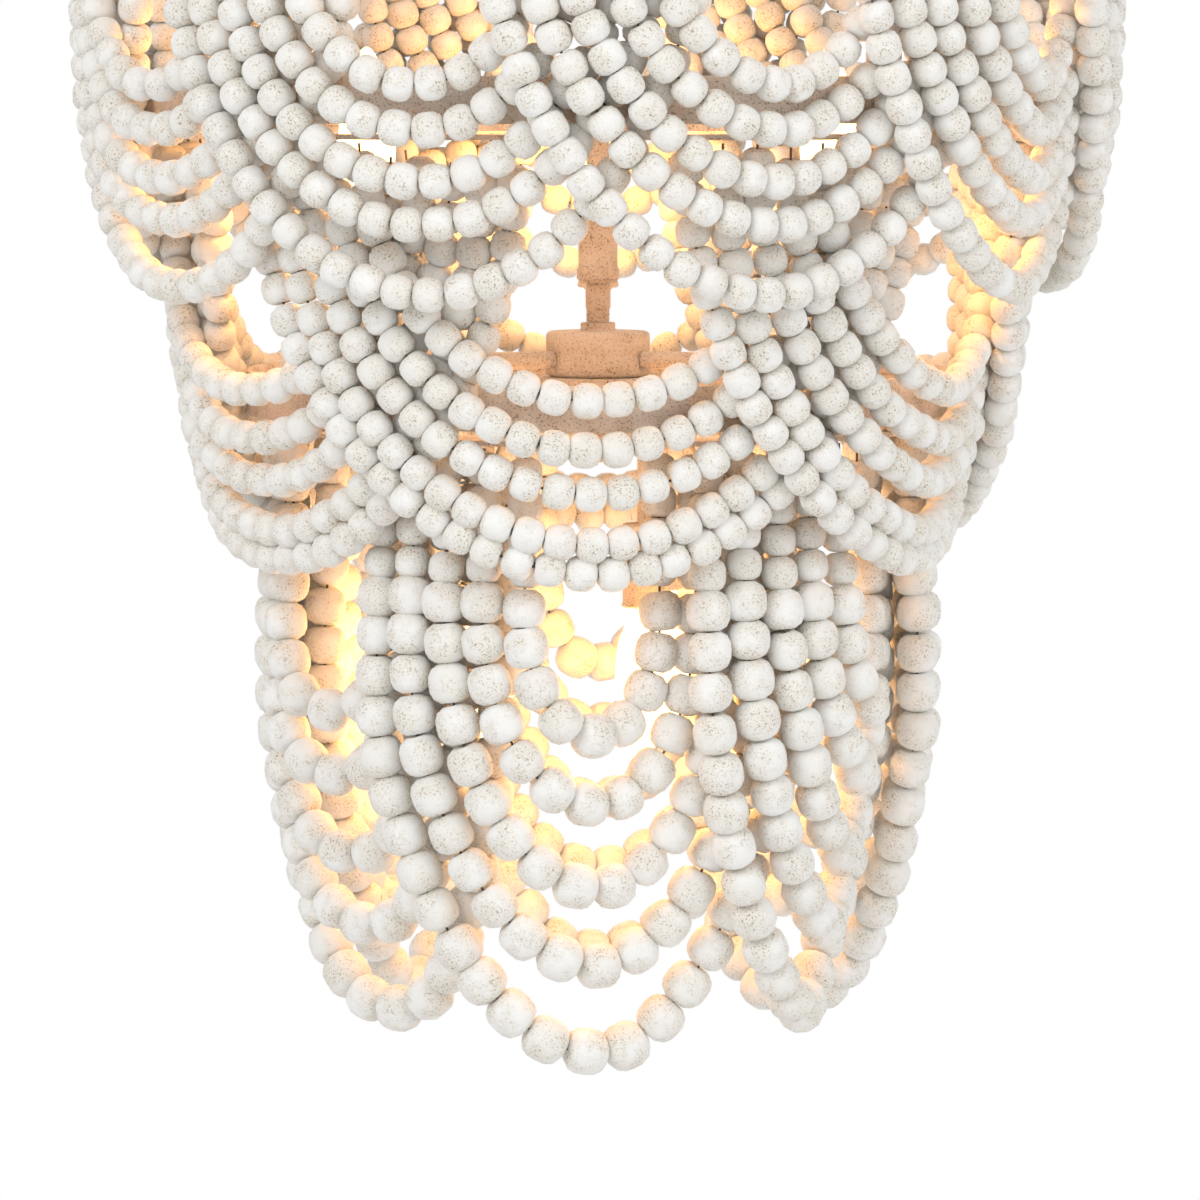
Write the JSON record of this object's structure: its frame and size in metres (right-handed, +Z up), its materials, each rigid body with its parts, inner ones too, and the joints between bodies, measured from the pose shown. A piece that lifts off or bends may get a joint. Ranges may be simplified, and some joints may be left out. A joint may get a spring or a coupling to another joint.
{
  "type": "chandelier",
  "caption": "Round hanging chandelier with three tiers of whitewashed wooden bead swags on painted metal bands, candle lamps inside, hung from a canopy by a hook and link.",
  "frame": {"origin": "centre of the mounting bar's top face, on the ceiling", "axes": "+Z up to the ceiling; -Y towards the viewer of the picture; +X to the right"},
  "size_m": [0.613, 0.613, 1.0022],
  "materials": {
    "frame": "distressed whitewash, matte",
    "beads": "whitewashed wood with brown speckle, matte",
    "steel": "dull",
    "bulb": "frosted, lit warm"
  },
  "bodies": {
    "ceiling": {"canopy": "frame", "canopy_hook": "steel", "mounting_bar": "steel"},
    "link": {"chain_link": "steel"},
    "chandelier": {"top_loop": "frame", "stem": "frame", "stem_coupling": "frame", "hub": "frame", "hub_plate": "frame", "finial": "frame", "crown_plate": "frame", "crown_strands": "beads", "upper_spider": "frame", "tier_1_ring": "frame", "tier_1_band": "frame", "middle_spider": "frame", "tier_2_ring": "frame", "tier_2_band": "frame", "lower_spider": "frame", "tier_3_ring": "frame", "lamp_arm_1": "frame", "lamp_arm_2": "frame", "lamp_arm_3": "frame", "bulb_1": "bulb", "bulb_2": "bulb", "bulb_3": "bulb", "drop_lamp_1": "frame", "drop_lamp_2": "frame", "drop_lamp_3": "frame", "drop_bulb_1": "bulb", "drop_bulb_2": "bulb", "drop_bulb_3": "bulb", "tier_1_swag_1": "beads", "tier_1_swag_2": "beads", "tier_1_swag_3": "beads", "tier_1_swag_4": "beads", "tier_1_swag_5": "beads", "tier_1_swag_6": "beads", "tier_1_swag_7": "beads", "tier_1_swag_8": "beads", "tier_1_swag_9": "beads", "tier_2_swag_1": "beads", "tier_2_swag_2": "beads", "tier_2_swag_3": "beads", "tier_2_swag_4": "beads", "tier_2_swag_5": "beads", "tier_2_swag_6": "beads", "tier_3_loops_1": "beads", "tier_3_loops_2": "beads", "tier_3_loops_3": "beads", "tier_3_loops_4": "beads", "tier_3_loops_5": "beads", "tier_3_loops_6": "beads"}
  },
  "joints": [
    {"name": "link_swing", "type": "hinge", "parent": "ceiling", "child": "link", "pos_m": [0, 0, -0.056], "axis": [1, 0, 0], "range_deg": [-20, 20]},
    {"name": "chandelier_swing", "type": "hinge", "parent": "link", "child": "chandelier", "pos_m": [0, 0, -0.095], "axis": [0, 1, 0], "range_deg": [-20, 20]}
  ]
}
